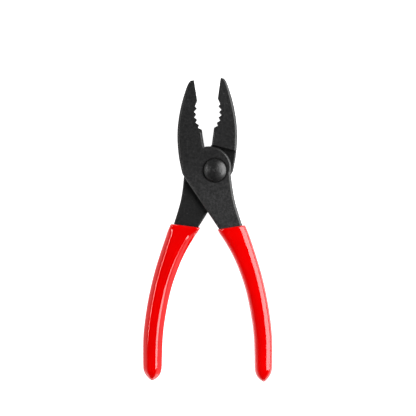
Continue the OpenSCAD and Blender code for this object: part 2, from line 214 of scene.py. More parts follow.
def grip_face():
    """Gripping edge from the shoulder up to the tip, as (x, y, kind)."""
    edge = -FACE_GAP / 2
    top = JAW_LENGTH - NOSE
    low, mid = top - HOLLOW, top - HOLLOW / 2
    r = ((HOLLOW / 2) ** 2 + HOLLOW_DEPTH**2) / (2 * HOLLOW_DEPTH)
    count = math.floor(HOLLOW / TOOTH_PITCH - 1)

    def depth(y):
        return HOLLOW_DEPTH - r + math.sqrt(max(r * r - (y - mid) ** 2, 0))

    points = [(edge, y, "cut") for y in steps(SHOULDER, low, FACE_STEP)[:-1]]
    teeth = []
    for i in range(count):
        y = mid + TOOTH_SHIFT + ((count - 1) / 2 - i) * TOOTH_PITCH
        crest = y - TOOTH_PITCH / 2
        teeth += [(-depth(y), y), (TOOTH_H - depth(crest), crest)]
    corners = [(edge, low)] + teeth[::-1] + [(edge, top)]
    for (x0, y0), (x1, y1) in zip(corners, corners[1:]):
        n = max(2, math.ceil(math.hypot(x1 - x0, y1 - y0) / TOOTH_STEP))
        points += [
            (min(edge, x0 + (x1 - x0) * k / n), y0 + (y1 - y0) * k / n, "crisp") for k in range(n)
        ]
    y = top
    last = JAW_LENGTH - GROOVE_PITCH / 2
    while y < last:
        after = y + GROOVE_PITCH
        if after < last:
            points += [
                (edge, y if y == top else y + GROOVE_DEPTH, "crisp"),
                (edge, y + GROOVE_PITCH / 2, "crisp"),
                (edge, after - GROOVE_DEPTH, "crisp"),
                (edge - GROOVE_DEPTH, after, "crisp"),
            ]
        y = after
    points.append((edge, y - GROOVE_PITCH + GROOVE_DEPTH, "crisp"))
    points.append((edge, JAW_LENGTH, "crisp"))
    return points


def distance(points, segments):
    """Distance of each point to the nearest of these segments, an array of x0, y0, x1, y1."""
    result = np.full(len(points), 1e3)
    if not len(segments):
        return result
    a, b = segments[:, :2], segments[:, 2:]
    ab = b - a
    length2 = np.maximum((ab**2).sum(1), 1e-12)
    chunk = 1500
    for i in range(0, len(points), chunk):
        p = points[i:i + chunk, None, :]
        t = np.clip(((p - a) * ab).sum(2) / length2, 0, 1)
        result[i:i + chunk] = np.sqrt(((a + t[..., None] * ab - p) ** 2).sum(2).min(1))
    return result


def inside(points, outline):
    """True for each point within the closed outline."""
    x, y = points[:, 0], points[:, 1]
    result = np.zeros(len(points), bool)
    for (x0, y0), (x1, y1) in zip(outline, np.roll(outline, -1, axis=0)):
        if y0 != y1:
            crosses = (y0 > y) != (y1 > y)
            result ^= crosses & (x < x0 + (y - y0) * (x1 - x0) / (y1 - y0))
    return result


def bevel_rows(width, last):
    """Depths of the rows along a bevel: close to its edge, about its inner border, and the last."""
    close = [0.04, 0.11, 0.2, 0.32]
    return close + [width - BEVEL_SOFT, width - 0.1, width + 0.1, width + BEVEL_SOFT, last]


# Depths of the rows of points that follow each kind of edge
ROWS = {
    "bevel": bevel_rows(BEVEL, BEVEL + 0.7),
    "rim": bevel_rows(BOSS_BEVEL, 1.6),
    "crisp": [0.05, 0.12, 0.22, 0.5],
    "cut": [0.36, 0.4, 0.7, CUTTER - CUTTER_SOFT, CUTTER, CUTTER + CUTTER_SOFT, CUTTER + 0.5],
    "open": [0.6],
    "tang": [0.2, 0.7, 1.2, 1.9],
}


def inset_rows(outline, kinds, segments):
    """The outline's points and the rows inside its edges, and the edges along all of them."""
    sharpest, folded = 0.35, 0.985
    n = len(outline)
    along = segments[:, 2:] - outline
    along /= np.maximum(np.linalg.norm(along, axis=1), 1e-9)[:, None]
    normal = np.stack([-along[:, 1], along[:, 0]], axis=1)
    mitre = normal + np.roll(normal, 1, axis=0)
    mitre /= np.maximum((mitre**2).sum(1), sharpest)[:, None] / 2
    before = np.roll(np.array(kinds, object), 1)
    points, edges = [tuple(p) for p in outline], [(i, (i + 1) % n) for i in range(n)]
    for depth in sorted({d for k in set(kinds) for d in ROWS[k]}):
        moved = outline + mitre * depth
        keep = (distance(moved, segments) > depth * folded) & inside(moved, outline)
        keep &= np.array([depth in ROWS[a] or depth in ROWS[b] for a, b in zip(kinds, before)])
        index = {}
        for i in np.flatnonzero(keep):
            index[i] = len(points)
            points.append(tuple(moved[i]))
        edges += [(index[i], index[(i + 1) % n]) for i in index if (i + 1) % n in index]
    return points, edges


def fill_grid(outline, kinds, segments, spacing):
    """A staggered grid of points in the outline, clear of the rows along its edges."""
    low, high = outline.min(0), outline.max(0)
    xs, ys = np.arange(low[0], high[0], spacing), np.arange(low[1], high[1], spacing * 0.87)
    grid = np.array([(x + (spacing / 2 if k % 2 else 0), y) for k, y in enumerate(ys) for x in xs])
    grid = grid[inside(grid, outline)]
    deepest = max(ROWS[k][-1] for k in kinds)
    grid = grid[distance(grid, segments) > deepest * 0.5]
    for kind in set(kinds):
        own = segments[[k == kind for k in kinds]]
        grid = grid[distance(grid, own) > ROWS[kind][-1] + spacing * 0.45]
    return grid


def face_sheet(outline, kinds, spacing, hole):
    """Triangles over a counter-clockwise outline, whose edges are of these kinds.

    Returns the points, the triangles, the points on the outline and on the hole, and the outline's
    segments.
    """
    outline = np.array(outline)
    n = len(outline)
    segments = np.hstack([outline, np.roll(outline, -1, axis=0)])
    points, edges = inset_rows(outline, kinds, segments)
    grid = fill_grid(outline, kinds, segments, spacing)
    first = len(points)
    if len(hole):
        hole = np.array(hole)
        clear = distance(grid, np.hstack([hole, np.roll(hole, -1, axis=0)])) > 0.5
        grid = grid[~inside(grid, hole) & clear]
        points += [tuple(p) for p in hole]
        edges += [(first + i, first + (i + 1) % len(hole)) for i in range(len(hole))]
    points += [tuple(p) for p in grid]
    inside_only, same = 1, 1e-5
    made, _, tris, origin, *_ = delaunay_2d_cdt(
        [Vector(p) for p in points], edges, [list(range(n))], inside_only, same
    )
    place = {source: k for k, sources in enumerate(origin) for source in sources}
    flat = np.array([(p.x, p.y) for p in made])
    tris = np.array([tuple(t) for t in tris])
    if len(hole):
        tris = tris[~inside(flat[tris].mean(1), hole)]
    rim = [place[i] for i in range(n)]
    inner = [place[first + i] for i in range(len(hole))]
    return flat, tris.tolist(), rim, inner, segments


def rounded_drop(d, r):
    """Fall of a face near an edge with a rounding of radius r."""
    t = np.clip(1 - d / r, 0, 1)
    return r * (1 - np.sqrt(1 - t**2))


def sloping(d, width, soft):
    """Fall of a face at a bevel of slope 1, whose inner border is softened."""
    return np.where(d < width - soft, width - d, (width + soft - d).clip(0) ** 2 / (4 * soft))


def bevel_drop(d, width):
    """Fall of a face at a bevel with a rounded corner."""
    return BEVEL_SLOPE * sloping(d, width, BEVEL_SOFT) + rounded_drop(d, BEVEL_CORNER)


def cutter_drop(d):
    """Fall of a face at the wire cutter's edge: a bevel, then the steep edge itself."""
    steep = (CUTTER_STEEP - d).clip(0) / CUTTER_STEEP * CUTTER_FALL
    return sloping(d, CUTTER, CUTTER_SOFT) * CUTTER_SLOPE + steep


def near(d, reach):
    """A share of 1 at an edge, which fades with the distance."""
    return np.exp(-((d / reach) ** 2))


class Skin:
    """Points and faces of one piece, in its own frame in millimetres, and the points' edge wear."""

    def __init__(self):
        self.points, self.faces, self.wear = [], [], []

    def add(self, points, wear):
        start = len(self.points)
        self.points += [tuple(p) for p in points]
        self.wear += list(wear)
        return start

    def face(self, outline, kinds, height, up, hole=(), spacing=1.3):
        """A face over an outline, at height(points, distances).

        Returns the points of its border and of its hole.
        """
        flat, tris, rim, inner, segments = face_sheet(outline, kinds, spacing, hole)
        d = {k: distance(flat, segments[[kind == k for kind in kinds]]) for k in ROWS}
        z, wear = height(flat, d)
        start = self.add(np.column_stack([flat, z]), wear)
        for t in tris:
            t = [start + i for i in t]
            (ax, ay), (bx, by), (cx, cy) = (self.points[i][:2] for i in t)
            if ((bx - ax) * (cy - ay) - (by - ay) * (cx - ax) > 0) != up:
                t.reverse()
            self.faces.append(t)
        return [start + i for i in rim], [start + i for i in inner]

    def wall(self, top, bottom, rows, closed=False):
        """Rows of faces between two borders with equally many points."""
        n = len(top)
        grid = [top]
        for r in range(1, rows):
            s = r / rows
            between = [
                tuple(a * (1 - s) + b * s for a, b in zip(self.points[i], self.points[j]))
                for i, j in zip(top, bottom)
            ]
            start = self.add(between, [0.0] * n)
            grid.append([start + k for k in range(n)])
        grid.append(bottom)
        for upper, lower in zip(grid, grid[1:]):
            for k in range(n if closed else n - 1):
                m = (k + 1) % n
                self.faces.append((upper[m], upper[k], lower[k], lower[m]))

    def level(self, border, z):
        """The same border at one height."""
        start = self.add([(*self.points[i][:2], z) for i in border], [0.0] * len(border))
        return [start + k for k in range(len(border))]


def steel_chains(h):
    """Edges of a half, counter-clockwise, of (x, y, kind): jaw, outer neck, tang and inner neck."""
    tilt = math.tan(math.radians(SHOULDER_TILT))
    low = SHOULDER
    for _ in range(20):
        low = SHOULDER + (h.left(low) + FACE_GAP / 2) * tilt
    jaw = grip_face()
    tip = steps(-FACE_GAP / 2, h.left(JAW_LENGTH), FACE_STEP)
    jaw += [(x, JAW_LENGTH, "crisp") for x in tip[1:-1]]
    jaw += [(h.left(y), y, "bevel") for y in steps(JAW_LENGTH, low, JAW_STEP)]
    outer = [(h.left(y), y, "bevel") for y in steps(low, CORNER_RISE, JAW_STEP)[:-1]]
    outer += [(h.left(y), y, "bevel") for y in steps(CORNER_RISE, -RIM_DROP, NECK_STEP)]
    end = TANG_SHORT - HANDLE_LENGTH
    tang = [(h.left(y), y, "tang") for y in steps(-RIM_DROP, end, TANG_STEP)]
    tang += [(x, end, "tang") for x in steps(h.left(end), h.right(end), 1.5)[1:-1]]
    tang += [(h.right(y), y, "tang") for y in steps(end, -RIM_DROP, TANG_STEP)]
    centre = h.boss_centre

    def past_boss(y):
        return math.hypot(h.right(y) - centre[0], y - centre[1]) - h.boss_r

    def heading(y):
        return math.atan2(y - centre[1], h.right(y) - centre[0])

    join, top = -h.neck_drop, SHOULDER
    while past_boss(join) < 0:
        join -= 0.02
    while past_boss(top) > 0:
        top -= 0.005
    inner = [(h.right(y), y, "bevel") for y in steps(-RIM_DROP, join, NECK_STEP)[:-1]]
    boss = arc(centre, h.boss_r, heading(join), heading(top), BOSS_ANGLE)
    inner += [(x, y, "rim") for x, y in boss]
    inner.append((-FACE_GAP / 2, SHOULDER, "crisp"))
    return jaw, outer, tang, inner


def steel_skin(h, hole, relief=None):
    """One forged half with its hole. relief is a line, past which the plate lies deeper."""
    jaw, outer, tang, inner = steel_chains(h)

    def height(sign):
        def at(flat, d):
            y = flat[:, 1]
            narrowing = np.interp(y, [BEVEL_NARROWS, JAW_LENGTH], [BEVEL, BEVEL_AT_TIP])
            width = np.minimum(BEVEL, narrowing)
            fall = np.maximum(bevel_drop(d["bevel"], width), bevel_drop(d["rim"], BOSS_BEVEL))
            fall = np.maximum(fall, rounded_drop(d["crisp"], CRISP_CORNER))
            fall = np.maximum(fall, (TANG_BEVEL - d["tang"]).clip(0))
            if sign > 0:
                fall = np.maximum(fall, cutter_drop(d["cut"]))
            else:
                fall = np.maximum(fall, (CUTTER_BACK - d["cut"]).clip(0) * CUTTER_BACK_SLOPE)
            edge = np.minimum(d["bevel"], d["rim"])
            crease = np.minimum(np.abs(d["bevel"] - width), np.abs(d["rim"] - BOSS_BEVEL))
            wear = np.maximum(near(crease, WEAR_CREASE) * 0.6, near(edge, WEAR_EDGE))
            wear = np.maximum(wear, 0.7 * near(d["crisp"], WEAR_CRISP))
            return sign * (taper(y) - fall), wear
        return at

    def plate(flat, d):
        z = np.full(len(flat), PLATE_GAP / 2)
        if relief:
            (x0, y0), (x1, y1) = relief
            across = (flat[:, 0] - x0) * (y1 - y0) - (flat[:, 1] - y0) * (x1 - x0)
            z += RELIEF_DEPTH * (across / math.hypot(x1 - x0, y1 - y0) / 0.25).clip(0, 1)
        edge = np.minimum(np.minimum(d["bevel"], d["rim"]), d["crisp"])
        broken = 0.5 * (0.7 - d["bevel"]).clip(0)
        return z + rounded_drop(edge, PLATE_CORNER) + broken, np.zeros(len(flat))

    def pick(chain):
        return [p[:2] for p in chain], [p[2] for p in chain]

    skin = Skin()
    around = jaw + outer[1:] + tang[1:] + inner[1:-1]
    top, top_hole = skin.face(*pick(around), height(1), True, hole)
    n_jaw, n_outer, n_tang, n_inner = len(jaw), len(outer), len(tang), len(inner)
    tang_at = n_jaw + n_outer - 2
    jaw_top, outer_top = top[:n_jaw], top[n_jaw - 1:tang_at + 1]
    tang_top, inner_top = top[tang_at:tang_at + n_tang], top[tang_at + n_tang - 1:] + [top[0]]
    (x0, y0, _), (x1, y1, _) = jaw[0], jaw[-1]
    shoulder = [
        (x1 + (x0 - x1) * s, y1 + (y0 - y1) * s, "crisp") for s in steps(0, 1, 0.04)
    ]
    rim = [(x, -RIM_DROP, "open") for x in steps(tang[0][0], tang[-1][0], NECK_STEP)]
    jaw_down, _ = skin.face(*pick(jaw[:-1] + shoulder[:-1]), height(-1), False)
    loop = outer[:-1] + rim[:-1] + inner[:-1] + [(x, y, "open") for x, y, _ in shoulder[:0:-1]]
    plate_down, hole_down = skin.face(*pick(loop), plate, False, hole)
    tang_down, _ = skin.face(*pick(tang[:-1] + rim[:0:-1]), height(-1), False)
    for upper, lower in ((jaw_top, jaw_down[:n_jaw]), (tang_top, tang_down[:n_tang])):
        between = skin.level(upper, PLATE_GAP / 2)
        skin.wall(upper, between, 3)
        skin.wall(between, lower, 3)
    inner_at = n_outer + len(rim) - 2
    shoulder_at = inner_at + n_inner - 1
    skin.wall(outer_top, plate_down[:n_outer], 3)
    skin.wall(inner_top, plate_down[inner_at:inner_at + n_inner], 3)
    shoulder_down = (jaw_down[n_jaw - 1:] + [jaw_down[0]])[::-1]
    skin.wall(plate_down[shoulder_at:] + [plate_down[0]], shoulder_down, 3)
    rim_down = (tang_down[n_tang - 1:] + [tang_down[0]])[::-1]
    skin.wall(plate_down[n_outer - 1:inner_at + 1], rim_down, 2)
    skin.wall(top_hole[::-1], hole_down[::-1], 2, True)
    return skin


# The dipped skin: steps around a section, the power of the hole at the rim, and its clearance
AROUND, MOUTH_POWER, MOUTH_CLEAR = 64, 0.45, 0.05
# Rows at the rolled rim: distance below it, growth outwards, and how much lower the face lies
RIM_ROWS = (
    (0.0, -0.32, 1.0), (0.16, -0.12, 0.8), (0.45, 0.0, 0.42), (0.75, 0.03, 0.18), (1.1, 0.03, 0.05),
    (1.6, 0.0, 0.0), (2.4, -0.06, 0.0), (3.4, -0.08, 0.0),
)
# Close rows follow to this distance below the rim, and the skin's waves calm down to the second
CLOSE_ROWS, WAVES_END = 11.6, 14
# The flat flanks: power of the section between them and at the rim, their steepness, the outer
# flank's share of the inner one's width, and how softly the inner and the outer one begin
FLANK_POWER, COLLAR_POWER, FLANK_STEEP, OUTER_SHARE = 0.55, 0.3, 0.9, 0.8
INNER_EASE, OUTER_EASE, COLLAR_EASE = 0.3, 0.7, 14
# Points this far under the slope, or this near to the middle plane, don't fall to it
FLANK_REACH, FLANK_LOW = -4, 0.4


def grip_skin(h, seed, collar=0, flank=0):
    """A dipped grip: its rim lip turned in to the tang, its long bowed sleeve, its pointed end.

    flank is the width of the flat slope along the inner side.
    collar is the length below the rim over which its boxy section turns into that with flanks.
    """
    skin = Skin()
    angles = [2 * math.pi * i / AROUND for i in range(AROUND)]
    end = -HANDLE_LENGTH

    def ring(y, grow, shrink=1.0, wave=0.0, drop=0.0):
        low_y = min(y, -RIM_DROP)
        along = -low_y / HANDLE_LENGTH
        middle, a, b = h.middle(low_y), h.width(low_y) / 2, GRIP_T / 2 * curve(GRIP_THICK, along)
        flat = 1 - min(1, max(0, (-RIM_DROP - y) / collar)) if collar else 0
        flat = flat * flat * (3 - 2 * flat)
        power = curve(GRIP_POWER, along)
        if flank:
            power = FLANK_POWER * (1 - flat) + COLLAR_POWER * flat
        b *= 1 - 0.025 * flat
        made = []
        for t in angles:
            c, s = math.cos(t), math.sin(t)
            ripple = wave * noise.noise(Vector((c * 1.6 + seed, s * 1.6, y * 0.16)))
            x = (a * shrink + grow + ripple) * section(c, power)
            z = (b * shrink + grow + ripple - drop) * section(s, power)
            if flank:
                broad, ease = (flank, INNER_EASE) if c < 0 else (OUTER_SHARE * flank, OUTER_EASE)
                from_side = a * shrink + grow - abs(x)
                slope = FLANK_STEEP * (broad * shrink * (1 - flat**1.5) - from_side)
                over = abs(z) - b * shrink + slope
                blend = ease * shrink**2 + COLLAR_EASE * flat * (1 - flat)
                if over > FLANK_REACH and abs(z) > FLANK_LOW * shrink:
                    lower = abs(z) - (over + math.sqrt(over * over + blend)) / 2
                    z = math.copysign(max(lower, 0), z)
            made.append((middle + x, y, z))
        return made

    left, right = h.tang(-RIM_DROP, -1), h.tang(-RIM_DROP, 1)
    half_x, half_z = (right - left) / 2 + MOUTH_CLEAR, float(taper(-RIM_DROP)) + MOUTH_CLEAR
    mouth = [
        ((right + left) / 2 + half_x * section(math.cos(t), MOUTH_POWER),
         half_z * section(math.sin(t), MOUTH_POWER))
        for t in angles
    ]
    lip = ring(-RIM_DROP, -0.55, wave=0.05, drop=1.0)
    rings = [[(x, -RIM_DROP - down, z) for x, z in mouth] for down in (3, 0.7)]
    rings.append([
        (x * 0.6 + lip_x * 0.4, -RIM_DROP - 0.3, z * 0.6 + lip_z * 0.4)
        for (x, z), (lip_x, _, lip_z) in zip(mouth, lip)
    ])
    rings.append([(x, y - 0.08, z) for x, y, z in lip])
    for down, grow, drop in RIM_ROWS:
        rings.append(ring(-RIM_DROP - down, grow, wave=0.1, drop=drop))
    close = -RIM_DROP - CLOSE_ROWS
    for y in steps(-RIM_DROP - 4.4, close, 0.6)[:-1] + steps(close, end + END_LENGTH, 1.4):
        s = min(1, (-RIM_DROP - y) / WAVES_END)
        rings.append(ring(y, -0.08 + 0.05 * s, wave=0.2 * (1 - s) + 0.03))
    end_rows, blunt = 20, 0.07
    for k in range(1, end_rows):
        s = 1 - (1 - k / end_rows) ** 1.5
        share = 1 - (1 - END_TIP) * s**END_POWER
        round_end = math.sqrt(1 - max(0, (s - (1 - blunt)) / blunt) ** 2)
        y = end + END_LENGTH * (1 - s)
        rings.append(ring(y, -0.04 * share, share * round_end, wave=0.03 * share))
    rings.append(ring(end + 0.02, 0, 0.02))
    starts = [skin.add(r, [0.0] * AROUND) for r in rings]
    for upper, lower in zip(starts, starts[1:]):
        for i in range(AROUND):
            j = (i + 1) % AROUND
            skin.faces.append((upper + i, upper + j, lower + j, lower + i))
    centre = skin.add([(h.middle(end), end, 0)], [0.0])
    skin.faces += [(starts[-1] + i, starts[-1] + (i + 1) % AROUND, centre) for i in range(AROUND)]
    return skin


def turned_skin(profile, around=96, flats=None, hexagon=None, closed=False):
    """A piece turned about the bolt's axis from (radius, z, wear) points, downwards.

    A radius of 0 closes it. flats is (heading, half the distance across them, highest z); hexagon
    is half the distance across its flats.
    """
    skin = Skin()
    starts = []
    for r, z, wear in profile:
        if r == 0:
            starts.append((skin.add([(0, 0, z)], [wear]), True))
            continue
        ring = []
        for i in range(around):
            a = 2 * math.pi * i / around
            own = r
            if hexagon and r > hexagon * 0.8:
                own = min(r, hexagon / math.cos((a % (math.pi / 3)) - math.pi / 6))
            x, y = own * math.cos(a), own * math.sin(a)
            if flats and z < flats[2]:
                across = -x * math.sin(flats[0]) + y * math.cos(flats[0])
                over = across - max(-flats[1], min(flats[1], across))
                x, y = x + over * math.sin(flats[0]), y - over * math.cos(flats[0])
            ring.append((x, y, z))
        starts.append((skin.add(ring, [wear] * around), False))
    if closed:
        starts.append(starts[0])
    for (a, a_point), (b, b_point) in zip(starts, starts[1:]):
        for i in range(around):
            j = (i + 1) % around
            if a_point:
                skin.faces.append((a, b + j, b + i))
            elif b_point:
                skin.faces.append((a + i, a + j, b))
            else:
                skin.faces.append((a + i, a + j, b + j, b + i))
    return skin


def build(name, skin, matrix, body, node, material, sharp=35):
    """Makes the object, in metres in the shared frame, and puts it in its node's place."""
    points = np.array(skin.points) * MM
    mesh = bpy.data.meshes.new(name)
    mesh.from_pydata([matrix @ Vector(p) for p in points], [], [tuple(f) for f in skin.faces])
    wear = mesh.attributes.new("wear", "FLOAT", "POINT")
    wear.data.foreach_set("value", np.array(skin.wear, dtype=np.float32))
    mesh.materials.append(material)
    ob = bpy.data.objects.new(name, mesh)
    bpy.context.collection.objects.link(ob)
    weld = ob.modifiers.new("weld", "WELD")
    weld.merge_threshold = 2e-6
    mesh.update()
    bpy.context.view_layer.objects.active = ob
    ob.select_set(True)
    bpy.ops.object.modifier_apply(modifier="weld")
    bpy.ops.object.shade_smooth()
    mesh.set_sharp_from_angle(angle=math.radians(sharp))
    ob.select_set(False)
    weighted = ob.modifiers.new("weighted", "WEIGHTED_NORMAL")
    weighted.keep_sharp = True
    weighted.weight = 80
    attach(ob, body)
    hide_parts(node)


WHITE = (1, 1, 1, 1)


class Graph:
    """Makes and links the nodes of a material or of the world."""

    def __init__(self, owner):
        owner.use_nodes = True
        self.nodes, self.links = owner.node_tree.nodes, owner.node_tree.links

    def put(self, socket, value):
        """Sets a socket to a number or a colour, or links it to another node's output."""
        if isinstance(value, (int, float, tuple)):
            socket.default_value = value
        else:
            self.links.new(value, socket)

    def node(self, kind, inputs=None, **settings):
        """A new node with these settings and inputs. An input is a value or a node's output."""
        made = self.nodes.new("ShaderNode" + kind)
        for name, value in settings.items():
            setattr(made, name, value)
        for key, value in (inputs or {}).items():
            self.put(made.inputs[key], value)
        return made

    def calc(self, operation, *values):
        return self.node("Math", dict(enumerate(values)), operation=operation).outputs[0]

    def vector(self, operation, *values):
        made = self.node("VectorMath", dict(enumerate(values)), operation=operation)
        return made.outputs["Value" if operation == "LENGTH" else "Vector"]

    def scaled(self, colour, factor):
        inputs = {0: colour, "Scale": factor}
        return self.node("VectorMath", inputs, operation="SCALE").outputs["Vector"]

    def noise(self, at, scale, detail, roughness=0.5):
        inputs = {"Vector": at, "Scale": scale, "Detail": detail, "Roughness": roughness}
        return self.node("TexNoise", inputs).outputs["Fac"]

    def ramp(self, value, low, high):
        """A colour ramp between two stops, each of a place and a colour or a grey."""
        made = self.node("ValToRGB", {"Fac": value})
        for element, (at, colour) in zip(made.color_ramp.elements, (low, high)):
            element.position = at
            element.color = colour if isinstance(colour, tuple) else (colour, colour, colour, 1)
        return made.outputs["Color"]

    def mix(self, factor, a, b, kind="MIX"):
        inputs = {"Factor": factor, "A": a, "B": b}
        return self.node("Mix", inputs, data_type="RGBA", blend_type=kind).outputs["Result"]

    def map_range(self, value, low, high, to_low, to_high, kind="LINEAR"):
        inputs = {
            "Value": value, "From Min": low, "From Max": high, "To Min": to_low, "To Max": to_high,
        }
        return self.node("MapRange", inputs, interpolation_type=kind).outputs["Result"]

    def bump(self, height, strength, distance, normal=None):
        inputs = {"Height": height, "Strength": strength, "Distance": distance}
        if normal is not None:
            inputs["Normal"] = normal
        return self.node("Bump", inputs).outputs["Normal"]


def new_material(name):
    material = bpy.data.materials.new(name)
    graph = Graph(material)
    return material, graph, graph.nodes["Principled BSDF"].inputs


# Noises on the steel, as scale, detail and roughness
GRAIN, PITS, MOTTLE = (1500, 3, 0.7), (900, 2, 0.5), (160, 4, 0.65)
DRAWN, RUBBED = (1900, 2, 0.4), (420, 5, 0.7)
# Fine blotches of its tone: their noise, and how dark they get
BLOTCHES = (((1000, 2, 0.72), 0.4), ((560, 3, 0.72), 0.66))
# Places and distances on the steel, in metres: where its tone changes along the tool, how far from
# the bolt painted shade darkens the faces in the joint, the ring of painted shadow around the
# bolt's head, and how near to the plane between the halves a face is one of those in the joint
TONE_FROM, TONE_TO = -0.022, 0.016
JOINT_SHADE_FROM, JOINT_SHADE_TO, JOINT_SHADE_DARK = 0.018, 0.027, 0.62
# Painted shadow around the bolt's head: where its dark ring begins and ends, and its darkest share
RING_SHADOW_FROM, RING_SHADOW_TO, RING_SHADOW_TONE = 0.008, 0.0088, 0.05
AT_PLATE = 0.0005
# The last colour is near-black painted shade for the bolt's centre dimple
SCRATCH, PIT, DIMPLE_SHADE = (0.06, 0.06, 0.06, 1), (0.1, 0.1, 0.1, 1), (0.001, 0.001, 0.001, 1)


def tone_with_painted_shade(graph, place, fade):
    """Strength of a half's colour: it changes along the tool, with painted shade in the joint and
    around the bolt.
    """
    across = graph.node("SeparateXYZ", {0: place}).outputs
    strength = graph.map_range(across["Y"], TONE_FROM, TONE_TO, *fade, "SMOOTHSTEP")
    squares = [graph.calc("POWER", across[axis], 2) for axis in "XY"]
    reach = graph.calc("SQRT", graph.calc("ADD", *squares))
    # Painted shade: the faces in the joint, at the plane between the halves, darken near the bolt
    painted_joint_shade = graph.map_range(reach, JOINT_SHADE_FROM, JOINT_SHADE_TO, JOINT_SHADE_DARK, 0.0, "SMOOTHSTEP")
    level = graph.calc("COMPARE", across["Z"], MID_Z * MM, AT_PLATE)
    joint_shade_factor = graph.calc("SUBTRACT", 1, graph.calc("MULTIPLY", level, painted_joint_shade))
    # Painted shadow: a dark ring on the plate around the bolt's head
    painted_ring_shadow = graph.map_range(reach, RING_SHADOW_FROM, RING_SHADOW_TO, RING_SHADOW_TONE, 1.0, "SMOOTHSTEP")
    return graph.calc("MULTIPLY", strength, graph.calc("MULTIPLY", joint_shade_factor, painted_ring_shadow))


def steel(
    name, dark, light, rough, seed, fade=None, rings=0.0, worn=(0.16, 0.155, 0.15, 1), amount=0.12,
    metallic=0.0, coarse=0.55, shine=0.6,
):
    """Steel with fine grain, faint mottling, pits and scratches, and edges rubbed brighter.

    dark and light are the mottling's tones, coarse is the strength of the grain, and amount is the
    share of the worn colour where an edge is rubbed. fade is the colour's strength at the handle
    and at the jaw, and with it come painted shade in the joint, a ring of painted shadow around the
    bolt's head, and scratches. rings is the distance between the rings of a turned face, in metres;
    with it comes painted shade in the centre dimple.
    """
    material, graph, surface = new_material(name)
    place = graph.node("TexCoord").outputs["Object"]
    shifted = graph.vector("ADD", place, (seed, seed * 0.7, 0))
    grain, pits = graph.noise(place, *GRAIN), graph.noise(shifted, *PITS)
    colour = graph.ramp(graph.noise(shifted, *MOTTLE), (0.2, dark), (0.8, light))
    for kind, darkest in BLOTCHES:
        blotch = graph.ramp(graph.noise(shifted, *kind), (0.41, darkest), (0.59, 1.0))
        colour = graph.mix(1.0, colour, blotch, "MULTIPLY")
    if fade:
        colour = graph.scaled(colour, tone_with_painted_shade(graph, place, fade))
        heading = (0, 0, math.radians(38 + 30 * seed))
        inputs = {"Vector": place, "Rotation": heading, "Scale": (1, 0.035, 1)}
        drawn = graph.node("Mapping", inputs).outputs["Vector"]
        lines = graph.ramp(graph.noise(drawn, *DRAWN), (0.71, 0.0), (0.76, 1.0))
        colour = graph.mix(graph.calc("MULTIPLY", lines, 0.45), colour, SCRATCH)
    speck = graph.ramp(pits, (0.67, 0.0), (0.74, 1.0))
    colour = graph.mix(graph.calc("MULTIPLY", speck, 0.6), colour, PIT)
    rub = graph.node("Attribute", attribute_name="wear").outputs["Fac"]
    patchy = graph.ramp(graph.noise(place, *RUBBED), (0.4, 0.15), (0.62, 1.0))
    rubbed = graph.calc("MULTIPLY", graph.calc("MULTIPLY", rub, patchy), amount)
    colour = graph.mix(rubbed, colour, worn)
    roughness = graph.ramp(grain, (0.25, rough - 0.14 * coarse), (0.75, rough + 0.16 * coarse))
    grainy, pitted = graph.calc("MULTIPLY", grain, 0.8), graph.calc("MULTIPLY", pits, 0.5)
    height = graph.calc("ADD", grainy, pitted)
    normal = graph.bump(height, coarse, 0.00003)
    if rings:
        radius = graph.vector("LENGTH", graph.vector("MULTIPLY", place, (1, 1, 0)))
        roughness = graph.calc("ADD", roughness, graph.map_range(radius, 0.0007, 0.0011, 0.6, 0.0))
        # Painted shade: the bolt's centre dimple is darkened almost to black
        colour = graph.mix(graph.map_range(radius, 0.0005, 0.0019, 0.95, 0.0), colour, DIMPLE_SHADE)
        lathe = graph.calc("SINE", graph.calc("MULTIPLY", radius, 2 * math.pi / rings))
        inputs = {"W": radius, "Scale": 1300, "Detail": 3}
        spread = graph.node("TexNoise", inputs, noise_dimensions="1D").outputs["Fac"]
        height = graph.calc("ADD", graph.calc("MULTIPLY", lathe, 0.3), spread)
        normal = graph.bump(height, 0.8, 0.00008, normal)
    for key, value in (
        ("Base Color", colour), ("Roughness", roughness), ("Normal", normal),
        ("Metallic", metallic), ("Specular IOR Level", shine),
    ):
        graph.put(surface[key], value)
    return material


def vinyl(name):
    """Glossy dipped vinyl: deep red, slightly cloudy, softly wavy, its gloss faintly smeared."""
    material, graph, surface = new_material(name)
    place = graph.node("TexCoord").outputs["Object"]
    cloud = graph.noise(place, 45, 3)
    smear = graph.noise(place, 220, 4)
    for key, value in (
        ("Base Color", graph.ramp(cloud, (0.3, (0.72, 0.0, 0.0, 1)), (0.7, (0.82, 0.0, 0.0, 1)))),
        ("Roughness", graph.map_range(smear, 0.3, 0.75, 0.05, 0.11)),
        ("Normal", graph.bump(graph.noise(place, 130, 2), 0.25, 0.0001)),
        ("IOR", 1.5), ("Coat Weight", 0.85), ("Coat Roughness", 0.06),
    ):
        graph.put(surface[key], value)
    return material


oxide = steel(
    "black_oxide_front", dark=(0.0205, 0.0205, 0.021, 1), light=(0.0315, 0.0315, 0.032, 1),
    rough=0.34, seed=0.0, fade=(1.6, 0.74),
)
oxide_back = steel(
    "black_oxide_back", dark=(0.013, 0.013, 0.0134, 1), light=(0.0212, 0.0212, 0.0216, 1),
    rough=0.35, seed=3.1, fade=(0.98, 1.07),
)
turned = steel(
    "black_oxide_turned", dark=(0.012, 0.012, 0.0122, 1), light=(0.019, 0.019, 0.0192, 1),
    rough=0.32, seed=1.7, rings=0.00085, coarse=0.12, shine=0.9,
)
plain = steel(
    "rolled_steel", dark=(0.16, 0.16, 0.165, 1), light=(0.24, 0.24, 0.245, 1),
    rough=0.36, seed=5.2, metallic=0.9, worn=(0.4, 0.4, 0.4, 1), amount=0.3,
)
red = vinyl("red_vinyl")

